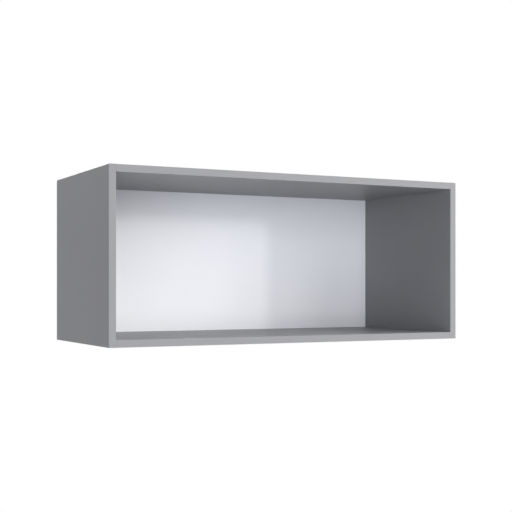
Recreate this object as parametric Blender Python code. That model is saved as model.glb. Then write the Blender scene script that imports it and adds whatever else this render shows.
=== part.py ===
"""Open kitchen wall cabinet: a box of laminated boards with a glued edge band on every edge that
shows, drawn together by turning cams and located by dowels, with a nailed back panel and two
keyhole hanger plates at the upper corners of the wall side.

Metres, +Z up, front towards -Y. The origin is the centre of the underside.
"""

import math

import bmesh
import bpy
from mathutils import Matrix, Vector

# Cabinet
WIDTH = 0.900
HEIGHT = 0.384
DEPTH = 0.380
BOARD_THICKNESS = 0.016
BACK_THICKNESS = 0.003
BACK_INSET = 0.001

# Edge band
BAND_THICKNESS = 0.001
BAND_RADIUS = 0.0007
BAND_ARC_STEPS = 3

# Clearances
GLUE_LINE = 0.0001
FIT = 0.0003
OVERRUN = 0.002
WELD_DISTANCE = 0.00001

# Cam, turned with a screwdriver from the outer face of the top and bottom boards
CAM_RADIUS = 0.0073
CAM_REACH = 0.034
CAM_RECESS = 0.0004
CAM_FOOT = 0.0045
CAM_LIP_AT_MOUTH = 0.0010
CAM_LIP_WHEN_LOCKED = 0.0016
CAM_SIDES = 32
CAM_LIP_END_STEPS = 3
DRIVE_LENGTH = 0.0072
DRIVE_WIDTH = 0.0016
DRIVE_DEPTH = 0.0026
MARK_LENGTH = 0.0016
MARK_WIDTH = 0.0020
MARK_DEPTH = 0.0003
MARK_FROM_RIM = 0.0008

# Bolt that the cam pulls on: it is screwed into the side board
BOLT_HEAD_RADIUS = 0.0032
BOLT_HEAD_LENGTH = 0.0028
BOLT_HEAD_CHAMFER = 0.0006
BOLT_NECK_RADIUS = 0.0022
BOLT_NECK_LENGTH = 0.0050
BOLT_SHANK_RADIUS = 0.0029
BOLT_COLLAR_RADIUS = 0.0036
BOLT_COLLAR_LENGTH = 0.0012
BOLT_THREAD_RADIUS = 0.0026
BOLT_THREAD_LENGTH = 0.0110
BOLT_TIP_LENGTH = 0.0020
BOLT_SIDES = 12

# Dowel
DOWEL_RADIUS = 0.0040
DOWEL_LENGTH = 0.030
DOWEL_LENGTH_IN_SIDE = 0.011
DOWEL_CHAMFER = 0.0010
DOWEL_FLUTES = 8
DOWEL_FLUTE_DEPTH = 0.0005

# Where the fittings lie along the depth, from the front and the rear edge of the boards
CAM_SETBACK = 0.050
DOWEL_BEYOND_CAM = 0.032

# Nail of the back panel
NAIL_HEAD_RADIUS = 0.0016
NAIL_HEAD_THICKNESS = 0.0007
NAIL_HEAD_RECESS = 0.0001
NAIL_RADIUS = 0.0007
NAIL_LENGTH = 0.022
NAIL_TIP_LENGTH = 0.0025
NAIL_SIDES = 8
NAILS_ALONG_COUNT = 6
NAILS_UP_COUNT = 2
NAIL_END_MARGIN = 0.060
NAIL_BELOW_PLATE = 0.040

# Keyhole hanger plate on the rear edge of each side board
PLATE_WIDTH = 0.014
PLATE_LENGTH = 0.060
PLATE_THICKNESS = 0.002
PLATE_DROP = 0.012
PLATE_SCREW_MARGIN = 0.007
PLATE_ARC_STEPS = 8
KEYHOLE_ENTRY_RADIUS = 0.0045
KEYHOLE_SLOT_RADIUS = 0.0026
KEYHOLE_RISE = 0.012
KEYHOLE_HEIGHT = 0.021
POCKET_RADIUS = 0.0050
POCKET_DEPTH = 0.009
NOTCH_GAP = 0.0004

# Countersunk screw of the hanger plate
SCREW_HEAD_RADIUS = 0.0030
SCREW_HEAD_HEIGHT = 0.0016
SCREW_RADIUS = 0.0015
SCREW_LENGTH = 0.016
SCREW_TIP_LENGTH = 0.003
SCREW_SIDES = 12

# Finishes: colour as linear RGB, roughness and metallic value
GREY_LAMINATE = ((0.240, 0.242, 0.251), 0.42, 0.0)
GREY_EDGE_BAND = ((0.240, 0.242, 0.251), 0.30, 0.0)
WHITE_HARDBOARD = ((0.850, 0.862, 0.898), 0.62, 0.0)
DIE_CAST_ZINC = ((0.560, 0.565, 0.580), 0.40, 1.0)
ZINC_PLATED_STEEL = ((0.620, 0.620, 0.610), 0.30, 1.0)
PLAIN_BEECH = ((0.560, 0.380, 0.220), 0.60, 0.0)

# Planes that several pieces share
FRONT_FACE = -DEPTH / 2
WALL_FACE = DEPTH / 2
BOARD_FRONT = FRONT_FACE + BAND_THICKNESS + GLUE_LINE
BOARD_REAR = WALL_FACE - BACK_THICKNESS - GLUE_LINE
BOARD_DEPTH = BOARD_REAR - BOARD_FRONT
BOARD_MIDDLE = (BOARD_FRONT + BOARD_REAR) / 2
SIDE_OUTER = WIDTH / 2
SIDE_INNER = SIDE_OUTER - BOARD_THICKNESS
SIDE_MIDDLE = SIDE_OUTER - BOARD_THICKNESS / 2
PANEL_END = SIDE_INNER - GLUE_LINE
CAM_ACROSS = SIDE_INNER - CAM_REACH
PLATE_BASE = HEIGHT - PLATE_DROP - PLATE_LENGTH

LEFT, RIGHT = -1, 1
SIDE_NAMES = {LEFT: "left", RIGHT: "right"}
LEVELS = {"top": HEIGHT - BOARD_THICKNESS / 2, "bottom": BOARD_THICKNESS / 2}
ENDS = {"front": BOARD_FRONT + CAM_SETBACK, "rear": BOARD_REAR - CAM_SETBACK}
TOWARDS_MIDDLE = {"front": 1, "rear": -1}
FULL_TURN = 2 * math.pi
HALF_TURN = math.pi
QUARTER_TURN = math.pi / 2
SHARP_ABOVE = math.radians(35)
FLAT_BELOW = math.radians(1)


def clear_scene():
    for found in list(bpy.data.objects):
        bpy.data.objects.remove(found)


def material(name, colour, roughness, metallic):
    made = bpy.data.materials.new(name)
    made.use_nodes = True
    shader = made.node_tree.nodes["Principled BSDF"]
    shader.inputs["Base Color"].default_value = (*colour, 1.0)
    shader.inputs["Roughness"].default_value = roughness
    shader.inputs["Metallic"].default_value = metallic
    made.diffuse_color = (*colour, 1.0)
    return made


def mesh_from(bm, name):
    """The finished mesh of bm, with its faces pointing out and only its curved walls shaded smooth."""
    bmesh.ops.recalc_face_normals(bm, faces=bm.faces)
    bends = [[edge.calc_face_angle(0) for edge in face.edges] for face in bm.faces]
    curved = [any(FLAT_BELOW < bend < SHARP_ABOVE for bend in around) for around in bends]
    mesh = bpy.data.meshes.new(name)
    bm.to_mesh(mesh)
    bm.free()
    mesh.set_sharp_from_angle(angle=SHARP_ABOVE)
    mesh.polygons.foreach_set("use_smooth", curved)
    return mesh


def block(name, size):
    """A box of this size round the origin."""
    bm = bmesh.new()
    bmesh.ops.create_cube(bm, size=1.0)
    bmesh.ops.scale(bm, vec=size, verts=bm.verts)
    return mesh_from(bm, name)


def turned(name, profile, sides):
    """A body turned about Z. The profile is (radius, height) points, and both its ends lie on Z."""
    bm = bmesh.new()
    points = [bm.verts.new((radius, 0, height)) for radius, height in profile]
    edges = [bm.edges.new(pair) for pair in zip(points, points[1:])]
    about_z = {"cent": (0, 0, 0), "axis": (0, 0, 1), "angle": FULL_TURN}
    bmesh.ops.spin(bm, geom=points + edges, steps=sides, use_merge=True, **about_z)
    bmesh.ops.remove_doubles(bm, verts=bm.verts, dist=WELD_DISTANCE)
    return mesh_from(bm, name)


def prism(name, outline, low, high):
    """An outline in XY, extruded along Z from low to high."""
    bm = bmesh.new()
    base = bm.faces.new([bm.verts.new((x, y, low)) for x, y in outline])
    raised = bmesh.ops.extrude_face_region(bm, geom=[base])
    lifted = [part for part in raised["geom"] if isinstance(part, bmesh.types.BMVert)]
    bmesh.ops.translate(bm, vec=(0, 0, high - low), verts=lifted)
    return mesh_from(bm, name)


def arc(centre, radius, start, end, steps):
    """Points of an arc from start to end, both angles in radians and both ends included."""
    angles = [start + (end - start) * step / steps for step in range(steps + 1)]
    return [(centre[0] + radius * math.cos(a), centre[1] + radius * math.sin(a)) for a in angles]


def collection(name):
    made = bpy.data.collections.new(name)
    bpy.context.scene.collection.children.link(made)
    return made


def place(mesh, name, location, rotation, finish, cabinet):
    """A sub-part of the cabinet."""
    made = bpy.data.objects.new(name, mesh)
    bpy.context.scene.collection.objects.link(made)
    made.location = location
    made.rotation_euler = rotation
    made.parent = cabinet
    if not mesh.materials:
        mesh.materials.append(finish)
    return made


def place_cutter(mesh, name, location, rotation, cutters):
    """A helper that is cut out of the boards, and isn't part of the cabinet."""
    made = bpy.data.objects.new(name, mesh)
    cutters.objects.link(made)
    made.location = location
    made.rotation_euler = rotation
    made.hide_render = True
    made.display_type = "WIRE"
    return made


def cut_out(target, cutters):
    """Removes every cutter of a collection from the target."""
    cut = target.modifiers.new(cutters.name, "BOOLEAN")
    cut.operation = "DIFFERENCE"
    cut.operand_type = "COLLECTION"
    cut.collection = cutters
    cut.solver = "EXACT"


def make_boards(finish, cabinet):
    """The two sides run the full height, and the top and bottom stand between them."""
    boards = []
    side_height = HEIGHT - 2 * (BAND_THICKNESS + GLUE_LINE)
    for side, side_name in SIDE_NAMES.items():
        mesh = block(f"{side_name}_side", (BOARD_THICKNESS, BOARD_DEPTH, side_height))
        centre = (side * SIDE_MIDDLE, BOARD_MIDDLE, HEIGHT / 2)
        boards.append(place(mesh, f"{side_name}_side", centre, (0, 0, 0), finish, cabinet))
    for level_name, level in LEVELS.items():
        mesh = block(f"{level_name}_panel", (2 * PANEL_END, BOARD_DEPTH, BOARD_THICKNESS))
        centre = (0, BOARD_MIDDLE, level)
        boards.append(place(mesh, f"{level_name}_panel", centre, (0, 0, 0), finish, cabinet))
    return boards


def make_back(finish, cabinet):
    """The thin back panel lies on the rear edges, notched at its upper corners for the hanger plates."""
    size = (WIDTH - 2 * BACK_INSET, BACK_THICKNESS, HEIGHT - 2 * BACK_INSET)
    centre = (0, WALL_FACE - BACK_THICKNESS / 2, HEIGHT / 2)
    back = place(block("back_panel", size), "back_panel", centre, (0, 0, 0), finish, cabinet)
    notches = collection("back_panel_notches")
    notch_inner = SIDE_MIDDLE - PLATE_WIDTH / 2 - NOTCH_GAP
    notch_base = PLATE_BASE - NOTCH_GAP
    notch_size = (
        SIDE_OUTER + OVERRUN - notch_inner,
        BACK_THICKNESS + 2 * OVERRUN,
        HEIGHT + OVERRUN - notch_base,
    )
    mesh = block("back_panel_notch", notch_size)
    for side, side_name in SIDE_NAMES.items():
        centre = (
            side * (notch_inner + notch_size[0] / 2),
            WALL_FACE - BACK_THICKNESS / 2,
            notch_base + notch_size[2] / 2,
        )
        place_cutter(mesh, f"{side_name}_notch", centre, (0, 0, 0), notches)
    cut_out(back, notches)
    return back


def band_mesh(name, length):
    """A strip along Z, as wide as a board, whose face towards -Y has rounded corners."""
    half = BOARD_THICKNESS / 2
    radius = min(BAND_RADIUS, BAND_THICKNESS)
    face = radius - BAND_THICKNESS
    outline = [(half, 0), (-half, 0)]
    outline += arc((radius - half, face), radius, HALF_TURN, HALF_TURN + QUARTER_TURN, BAND_ARC_STEPS)
    outline += arc((half - radius, face), radius, -QUARTER_TURN, 0, BAND_ARC_STEPS)
    return prism(name, outline, -length / 2, length / 2)


def make_bands(finish, cabinet):
    """Bands on the front edges of all boards, and on the upper and lower ends of the sides."""
    glued = BOARD_FRONT - GLUE_LINE
    upright = band_mesh("side_front_band", HEIGHT)
    crosswise = band_mesh("panel_front_band", 2 * PANEL_END)
    end = band_mesh("side_end_band", BOARD_DEPTH)
    for side, side_name in SIDE_NAMES.items():
        name = f"{side_name}_side"
        across = side * SIDE_MIDDLE
        lower = (across, BOARD_MIDDLE, BAND_THICKNESS)
        upper = (across, BOARD_MIDDLE, HEIGHT - BAND_THICKNESS)
        place(upright, f"{name}_front_band", (across, glued, HEIGHT / 2), (0, 0, 0), finish, cabinet)
        place(end, f"{name}_lower_band", lower, (QUARTER_TURN, 0, 0), finish, cabinet)
        place(end, f"{name}_upper_band", upper, (-QUARTER_TURN, 0, 0), finish, cabinet)
    for level_name, level in LEVELS.items():
        name = f"{level_name}_panel_front_band"
        place(crosswise, name, (0, glued, level), (0, QUARTER_TURN, 0), finish, cabinet)


def cam_pocket_outline(head_room):
    """The hollow that the bolt's head travels in, between a flat wall at Y = head_room and the lip.

    The lip grows steadily thicker from the mouth, at -X, round by -Y to +X, where the cam is locked.
    """
    arc_steps = CAM_SIDES // 2
    at_mouth = CAM_RADIUS - CAM_LIP_AT_MOUTH
    when_locked = CAM_RADIUS - CAM_LIP_WHEN_LOCKED
    flat_end = math.asin(head_room / at_mouth)
    outline = arc((0, 0), at_mouth, HALF_TURN - flat_end, HALF_TURN, CAM_LIP_END_STEPS)
    for step in range(1, arc_steps):
        share = step / arc_steps
        radius = at_mouth + (when_locked - at_mouth) * share
        angle = HALF_TURN + HALF_TURN * share
        outline.append((radius * math.cos(angle), radius * math.sin(angle)))
    flat_end = math.asin(head_room / when_locked)
    return outline + arc((0, 0), when_locked, 0, flat_end, CAM_LIP_END_STEPS)


def cam_drive_outline():
    """A cross for the screwdriver."""
    long = DRIVE_LENGTH / 2
    wide = DRIVE_WIDTH / 2
    arm = [(long, -wide), (long, wide), (wide, wide)]
    quarters = [Matrix.Rotation(quarter * QUARTER_TURN, 2) for quarter in range(4)]
    return [tuple(turn @ Vector(point)) for turn in quarters for point in arm]


def cam_mark_outline():
    """An arrowhead near the rim, which points at the bolt when the cam is locked."""
    point = CAM_RADIUS - MARK_FROM_RIM
    return [(point, 0), (point - MARK_LENGTH, MARK_WIDTH / 2), (point - MARK_LENGTH, -MARK_WIDTH / 2)]


def cam_mesh():
    """A cam about Z, locked, with the bolt coming in along +X and the bolt's axis at Z = 0.

    The bolt's head lies in a pocket, and its neck leaves through a slot round the -Y half of the
    wall. The slot ends in a mouth towards -X, wide enough for the head to pass. The lip of the
    pocket bears on the shoulder of the head, and draws the bolt in as the cam turns.
    """
    drive_face = BOARD_THICKNESS / 2 - CAM_RECESS
    body = bmesh.new()
    bmesh.ops.create_cone(
        body,
        cap_ends=True,
        segments=CAM_SIDES,
        radius1=CAM_RADIUS,
        radius2=CAM_RADIUS,
        depth=drive_face + CAM_FOOT,
        matrix=Matrix.Translation((0, 0, (drive_face - CAM_FOOT) / 2)),
    )
    cam = bpy.data.objects.new("cam_blank", mesh_from(body, "cam_blank"))
    bpy.context.scene.collection.objects.link(cam)
    cam.hide_render = True
    cutters = collection("cam_cutters")

    def remove(mesh, rotation=(0, 0, 0)):
        place_cutter(mesh, mesh.name, (0, 0, 0), rotation, cutters)

    head_room = BOLT_HEAD_RADIUS + FIT
    neck_room = BOLT_NECK_RADIUS + FIT
    outside = CAM_RADIUS + OVERRUN
    remove(prism("cam_pocket", cam_pocket_outline(head_room), -head_room, head_room))
    slot = [(outside, neck_room), (-outside, neck_room)]
    slot += arc((0, 0), outside, HALF_TURN, FULL_TURN, CAM_SIDES // 2)
    remove(prism("cam_slot", slot, -neck_room, neck_room))
    mouth = [(0, 0), (head_room, 0), (head_room, outside), (0, outside)]
    remove(turned("cam_mouth", mouth, BOLT_SIDES), (0, -QUARTER_TURN, 0))
    remove(prism("cam_drive", cam_drive_outline(), drive_face - DRIVE_DEPTH, drive_face + OVERRUN))
    remove(prism("cam_mark", cam_mark_outline(), drive_face - MARK_DEPTH, drive_face + OVERRUN))
    cut_out(cam, cutters)
    return evaluated_mesh(cam, "cam")


def evaluated_mesh(source, name):
    """The mesh of an object with its modifiers applied."""
    bpy.context.view_layer.update()
    bm = bmesh.new()
    bm.from_object(source, bpy.context.evaluated_depsgraph_get())
    return mesh_from(bm, name)


def bolt_profile():
    """From the head, near the cam's axis at height 0, out to the thread in the side board.

    The rim of the head's shoulder meets the lip of the locked cam.
    """
    lip = CAM_RADIUS - CAM_LIP_WHEN_LOCKED - FIT
    shoulder = math.sqrt(lip**2 - BOLT_HEAD_RADIUS**2)
    head_end = shoulder - BOLT_HEAD_LENGTH
    shank = shoulder + BOLT_NECK_LENGTH
    collar_face = CAM_REACH - GLUE_LINE
    collar = collar_face - BOLT_COLLAR_LENGTH
    tip = CAM_REACH + BOLT_THREAD_LENGTH
    return [
        (0, head_end),
        (BOLT_HEAD_RADIUS - BOLT_HEAD_CHAMFER, head_end),
        (BOLT_HEAD_RADIUS, head_end + BOLT_HEAD_CHAMFER),
        (BOLT_HEAD_RADIUS, shoulder),
        (BOLT_NECK_RADIUS, shoulder),
        (BOLT_NECK_RADIUS, shank),
        (BOLT_SHANK_RADIUS, shank),
        (BOLT_SHANK_RADIUS, collar),
        (BOLT_COLLAR_RADIUS, collar),
        (BOLT_COLLAR_RADIUS, collar_face),
        (BOLT_THREAD_RADIUS, collar_face),
        (BOLT_THREAD_RADIUS, tip - BOLT_TIP_LENGTH),
        (0, tip),
    ]


def bolt_hole_profile():
    """A wide hole in the end of the top or bottom board, and a narrow one in the side board."""
    wide = BOLT_COLLAR_RADIUS + FIT
    narrow = BOLT_THREAD_RADIUS + FIT
    seam = CAM_REACH - GLUE_LINE / 2
    end = CAM_REACH + BOLT_THREAD_LENGTH + FIT
    return [(0, 0), (wide, 0), (wide, seam), (narrow, seam), (narrow, end), (0, end)]


def dowel_mesh():
    """A dowel along Z from 0, with chamfered ends and straight glue flutes."""
    ends = DOWEL_RADIUS - DOWEL_CHAMFER
    rings = [
        (ends, 0, 0),
        (DOWEL_RADIUS, DOWEL_CHAMFER, DOWEL_FLUTE_DEPTH),
        (DOWEL_RADIUS, DOWEL_LENGTH - DOWEL_CHAMFER, DOWEL_FLUTE_DEPTH),
        (ends, DOWEL_LENGTH, 0),
    ]
    bm = bmesh.new()
    loops = []
    for radius, height, flute_depth in rings:
        loop = []
        for corner in range(2 * DOWEL_FLUTES):
            angle = HALF_TURN * corner / DOWEL_FLUTES
            reach = radius - flute_depth * (corner % 2)
            loop.append(bm.verts.new((reach * math.cos(angle), reach * math.sin(angle), height)))
        loops.append(loop)
    for lower, upper in zip(loops, loops[1:]):
        for corner in range(len(lower)):
            following = (corner + 1) % len(lower)
            bm.faces.new((lower[corner], lower[following], upper[following], upper[corner]))
    bm.faces.new(loops[0])
    bm.faces.new(loops[-1])
    return mesh_from(bm, "dowel")


def make_corner_fittings(zinc, steel, beech, cabinet, holes):
    """At each end of the top and bottom boards: two cams with their bolts, and two dowels."""
    cam = cam_mesh()
    bolt = turned("cam_bolt", bolt_profile(), BOLT_SIDES)
    dowel = dowel_mesh()
    bolt_hole = turned("bolt_hole", bolt_hole_profile(), BOLT_SIDES)
    cam_bore = cam_bore_mesh()
    dowel_room = DOWEL_RADIUS + FIT
    dowel_hole = turned(
        "dowel_hole",
        [(0, -FIT), (dowel_room, -FIT), (dowel_room, DOWEL_LENGTH + FIT), (0, DOWEL_LENGTH + FIT)],
        2 * DOWEL_FLUTES,
    )
    for level_name, level in LEVELS.items():
        for side, side_name in SIDE_NAMES.items():
            outwards = (0, side * QUARTER_TURN, 0)
            facing = cam_rotation(level_name, side)
            dowel_inner_end = side * (SIDE_INNER + DOWEL_LENGTH_IN_SIDE - DOWEL_LENGTH)
            for end_name, along in ENDS.items():
                where = f"{level_name}_{side_name}_{end_name}"
                centre = (side * CAM_ACROSS, along, level)
                place(cam, f"cam_{where}", centre, facing, zinc, cabinet)
                place(bolt, f"cam_bolt_{where}", centre, outwards, steel, cabinet)
                place_cutter(cam_bore, f"cam_bore_{where}", centre, facing, holes)
                place_cutter(bolt_hole, f"bolt_hole_{where}", centre, outwards, holes)
                dowel_along = along + TOWARDS_MIDDLE[end_name] * DOWEL_BEYOND_CAM
                start = (dowel_inner_end, dowel_along, level)
                place(dowel, f"dowel_{where}", start, outwards, beech, cabinet)
                place_cutter(dowel_hole, f"dowel_hole_{where}", start, outwards, holes)


def cam_rotation(level_name, side):
    """Turns a cam's drive face out of its board and its +X towards the side board."""
    if level_name == "top":
        return (0, 0, 0) if side == RIGHT else (0, 0, HALF_TURN)
    return (HALF_TURN, 0, 0) if side == RIGHT else (0, HALF_TURN, 0)


def cam_bore_mesh():
    """The blind bore that a cam turns in, open at the board's outer face."""
    radius = CAM_RADIUS + FIT
    floor = -CAM_FOOT - FIT
    mouth = BOARD_THICKNESS / 2 + OVERRUN
    return turned("cam_bore", [(0, floor), (radius, floor), (radius, mouth), (0, mouth)], CAM_SIDES)


def nail_profile(grow, head_end):
    """A nail along Z with the face of its head at 0. Its hole is the same shape, grown by grow."""
    head = NAIL_HEAD_RADIUS + grow
    shank = NAIL_RADIUS + grow
    neck = -NAIL_HEAD_THICKNESS - grow
    tip = -NAIL_LENGTH - grow
    point = [(shank, tip + NAIL_TIP_LENGTH), (0, tip)]
    return [(0, head_end), (head, head_end), (head, neck), (shank, neck)] + point


def spread(low, high, count):
    """Evenly spaced places from low to high, both included."""
    return [low + (high - low) * step / (count - 1) for step in range(count)]


def make_nails(steel, cabinet, holes):
    """Nails round the back panel, one row in the rear edge of each board."""
    nail = turned("nail", nail_profile(0, 0), NAIL_SIDES)
    nail_hole = turned("nail_hole", nail_profile(FIT, OVERRUN), NAIL_SIDES)
    places = {}
    last_across = SIDE_OUTER - NAIL_END_MARGIN
    along = spread(-last_across, last_across, NAILS_ALONG_COUNT)
    upwards = spread(NAIL_END_MARGIN, PLATE_BASE - NAIL_BELOW_PLATE, NAILS_UP_COUNT)
    for level_name, level in LEVELS.items():
        for number, across in enumerate(along, 1):
            places[f"back_nail_{level_name}_{number}"] = (across, level)
    for side, side_name in SIDE_NAMES.items():
        for number, up in enumerate(upwards, 1):
            places[f"back_nail_{side_name}_{number}"] = (side * SIDE_MIDDLE, up)
    for name, (across, up) in places.items():
        centre = (across, WALL_FACE - NAIL_HEAD_RECESS, up)
        place(nail, name, centre, (-QUARTER_TURN, 0, 0), steel, cabinet)
        place_cutter(nail_hole, f"{name}_hole", centre, (-QUARTER_TURN, 0, 0), holes)


def stadium(radius, low, high):
    """The outline of a slot with round ends, whose end centres are at y = low and y = high."""
    upper = arc((0, high), radius, 0, HALF_TURN, PLATE_ARC_STEPS)
    lower = arc((0, low), radius, HALF_TURN, FULL_TURN, PLATE_ARC_STEPS)
    return upper + lower


def keyhole_outline():
    """A round entry at y = 0 for the head of a wall screw, with a narrower slot rising from it."""
    slot_foot = math.asin(KEYHOLE_SLOT_RADIUS / KEYHOLE_ENTRY_RADIUS)
    entry = arc(
        (0, 0),
        KEYHOLE_ENTRY_RADIUS,
        QUARTER_TURN + slot_foot,
        QUARTER_TURN - slot_foot + FULL_TURN,
        2 * PLATE_ARC_STEPS,
    )
    return entry + arc((0, KEYHOLE_RISE), KEYHOLE_SLOT_RADIUS, 0, HALF_TURN, PLATE_ARC_STEPS)


def screw_profile(grow, head_end):
    """A countersunk screw along Z, its head's face at 0. Its hole is the same shape, grown by grow."""
    head = SCREW_HEAD_RADIUS + grow
    shank = SCREW_RADIUS + grow
    tip = -SCREW_LENGTH - grow
    rim = [(0, head_end), (head, head_end)]
    if head_end:
        rim.append((head, 0))
    return rim + [(shank, -SCREW_HEAD_HEIGHT), (shank, tip + SCREW_TIP_LENGTH), (0, tip)]


def make_hangers(steel, cabinet, holes):
    """A keyhole plate on each side's rear edge, over a routed pocket for the wall screw's head."""
    radius = PLATE_WIDTH / 2
    plate_mesh = prism("hanger_plate", stadium(radius, radius, PLATE_LENGTH - radius), 0, PLATE_THICKNESS)
    keyhole = prism("keyhole", keyhole_outline(), -OVERRUN, PLATE_THICKNESS + OVERRUN)
    pocket = prism("hanger_pocket", stadium(POCKET_RADIUS, 0, KEYHOLE_RISE), -OVERRUN, POCKET_DEPTH)
    screw = turned("hanger_screw", screw_profile(0, 0), SCREW_SIDES)
    screw_hole = turned("hanger_screw_hole", screw_profile(FIT, OVERRUN), SCREW_SIDES)
    plate_face = BOARD_REAR + GLUE_LINE + PLATE_THICKNESS
    screw_heights = {"lower": PLATE_SCREW_MARGIN, "upper": PLATE_LENGTH - PLATE_SCREW_MARGIN}
    for side, side_name in SIDE_NAMES.items():
        across = side * SIDE_MIDDLE
        upright = (QUARTER_TURN, 0, 0)
        base = (across, plate_face, PLATE_BASE)
        entry = (across, plate_face, PLATE_BASE + KEYHOLE_HEIGHT)
        behind_entry = (across, BOARD_REAR, PLATE_BASE + KEYHOLE_HEIGHT)
        plate = place(plate_mesh, f"hanger_plate_{side_name}", base, upright, steel, cabinet)
        openings = collection(f"hanger_plate_{side_name}_openings")
        place_cutter(keyhole, f"keyhole_{side_name}", entry, upright, openings)
        place_cutter(pocket, f"hanger_pocket_{side_name}", behind_entry, upright, holes)
        for end_name, height in screw_heights.items():
            name = f"hanger_screw_{side_name}_{end_name}"
            centre = (across, plate_face, PLATE_BASE + height)
            place(screw, name, centre, (-QUARTER_TURN, 0, 0), steel, cabinet)
            place_cutter(screw_hole, f"{name}_clearance", centre, (-QUARTER_TURN, 0, 0), openings)
            place_cutter(screw_hole, f"{name}_hole", centre, (-QUARTER_TURN, 0, 0), holes)
        cut_out(plate, openings)


def main():
    clear_scene()
    cabinet = bpy.data.objects.new("cabinet", None)
    bpy.context.scene.collection.objects.link(cabinet)
    board_finish = material("grey_laminate", *GREY_LAMINATE)
    band_finish = material("grey_edge_band", *GREY_EDGE_BAND)
    back_finish = material("white_hardboard", *WHITE_HARDBOARD)
    zinc = material("die_cast_zinc", *DIE_CAST_ZINC)
    steel = material("zinc_plated_steel", *ZINC_PLATED_STEEL)
    beech = material("beech", *PLAIN_BEECH)

    holes = collection("fastener_holes")
    boards = make_boards(board_finish, cabinet)
    boards.append(make_back(back_finish, cabinet))
    make_bands(band_finish, cabinet)
    make_corner_fittings(zinc, steel, beech, cabinet, holes)
    make_nails(steel, cabinet, holes)
    make_hangers(steel, cabinet, holes)
    for board in boards:
        cut_out(board, holes)


main()
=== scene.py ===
import math

import bmesh
import bpy
from mathutils import Matrix, Vector


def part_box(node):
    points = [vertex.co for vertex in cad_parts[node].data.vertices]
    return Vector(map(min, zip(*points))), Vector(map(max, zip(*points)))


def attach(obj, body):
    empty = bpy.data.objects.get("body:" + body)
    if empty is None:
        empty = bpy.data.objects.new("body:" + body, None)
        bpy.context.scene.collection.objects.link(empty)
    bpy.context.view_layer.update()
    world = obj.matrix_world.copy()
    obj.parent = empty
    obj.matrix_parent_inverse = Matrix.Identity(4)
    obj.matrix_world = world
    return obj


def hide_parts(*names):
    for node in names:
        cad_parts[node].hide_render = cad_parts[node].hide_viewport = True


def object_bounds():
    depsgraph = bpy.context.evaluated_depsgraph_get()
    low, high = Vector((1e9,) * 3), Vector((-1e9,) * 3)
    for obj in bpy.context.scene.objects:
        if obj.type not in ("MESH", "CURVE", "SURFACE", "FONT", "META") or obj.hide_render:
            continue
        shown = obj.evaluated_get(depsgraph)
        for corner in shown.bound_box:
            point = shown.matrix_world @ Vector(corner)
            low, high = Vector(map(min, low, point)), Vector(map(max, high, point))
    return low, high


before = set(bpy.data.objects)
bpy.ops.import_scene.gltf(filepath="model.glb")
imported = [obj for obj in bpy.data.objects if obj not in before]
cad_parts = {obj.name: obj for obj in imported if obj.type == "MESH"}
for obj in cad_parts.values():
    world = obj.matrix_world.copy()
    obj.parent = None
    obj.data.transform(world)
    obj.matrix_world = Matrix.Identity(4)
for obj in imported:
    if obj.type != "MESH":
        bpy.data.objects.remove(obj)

# The look of the kitchen wall cabinet: the finish of its boards, its finer fittings and the studio.
# Metres, +Z up, front towards -Y. Colours are linear RGB.

CAD_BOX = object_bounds()
LOWEST, HIGHEST = CAD_BOX
LEFT_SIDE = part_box("left_side")
BACK_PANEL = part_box("back_panel")
BOARD = LEFT_SIDE[1].x - LEFT_SIDE[0].x
SIDE_NAMES = {"left": -1, "right": 1}
LEVELS = {"top": HIGHEST.z - BOARD / 2, "bottom": LOWEST.z + BOARD / 2}
CORNER_NAMES = ("front", "rear")
PLATE_SCREW_NAMES = ("lower", "upper")
FULL_TURN = 2 * math.pi
HALF_TURN = math.pi
QUARTER_TURN = math.pi / 2

# The photograph's view, for a frame that is 512 pixels wide
FRAME_PIXELS = 512
FOCAL_PIXELS = 1024
AXIS_PIXEL = (239.4, 287)
SENSOR_MM = 36
CAMERA_FROM_FRONT_CORNER = (-0.707, -2.025, 0.127)
CAMERA_TURN = math.radians(26.51)

# Studio lamps: azimuth and elevation in degrees as the cabinet sees them, 0 in front and more to the
# right, then distance, width, and the level on a surface that faces the lamp, where 1 shows a colour
# as it is written. The sharp lamp draws the edges of the shadows on the back panel.
LAMPS = {
    "front_lamp": (-5, 5, 6.0, 3.0, 0.40),
    "key_lamp": (35, 18, 6.0, 3.0, 0.27),
    "side_lamp": (60, 15, 3.5, 1.4, 0.52),
    "sharp_lamp": (41.5, 9, 6.0, 0.35, 0.17),
    "low_lamp": (-35, -8, 6.0, 3.0, 0.27),
    "top_lamp": (0, 88, 6.0, 3.6, 0.40),
    "rear_lamp": (180, 30, 6.0, 3.6, 0.50),
}
# The others light only what is matt, as their mirror image would whiten the top seen from behind
MIRRORED_LAMPS = ("top_lamp", "rear_lamp")
AMBIENT = 0.20
# The lamps from the right are a little warm, and the low lamp and the ambient light a little cool
WHITE = (1.0, 1.0, 1.0)
WARM = (1.02, 1.00, 0.97)
COOL = (0.95, 1.00, 1.06)
LAMP_TINTS = {"key_lamp": WARM, "side_lamp": WARM, "sharp_lamp": WARM, "low_lamp": COOL}
AMBIENT_TINT = (1.02, 1.00, 1.12)

# Floor, which fades into the background between two distances from its middle
FLOOR_BELOW = 1.40
FLOOR_RADIUS = 2.60
FLOOR_FADE = (1.20, 2.30)
FLOOR_WHITE = (0.82, 0.82, 0.82)
FLOOR_CLOUD = 0.020
FLOOR_SPREAD = 0.01
FLOOR_ROUGHNESS = 0.8

# A pattern below is the grain, detail and roughness that Finish.noise takes. A relief is a depth, a
# spread is the share by which a colour wanders, and a pair of roughnesses is the least and the most.

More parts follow.
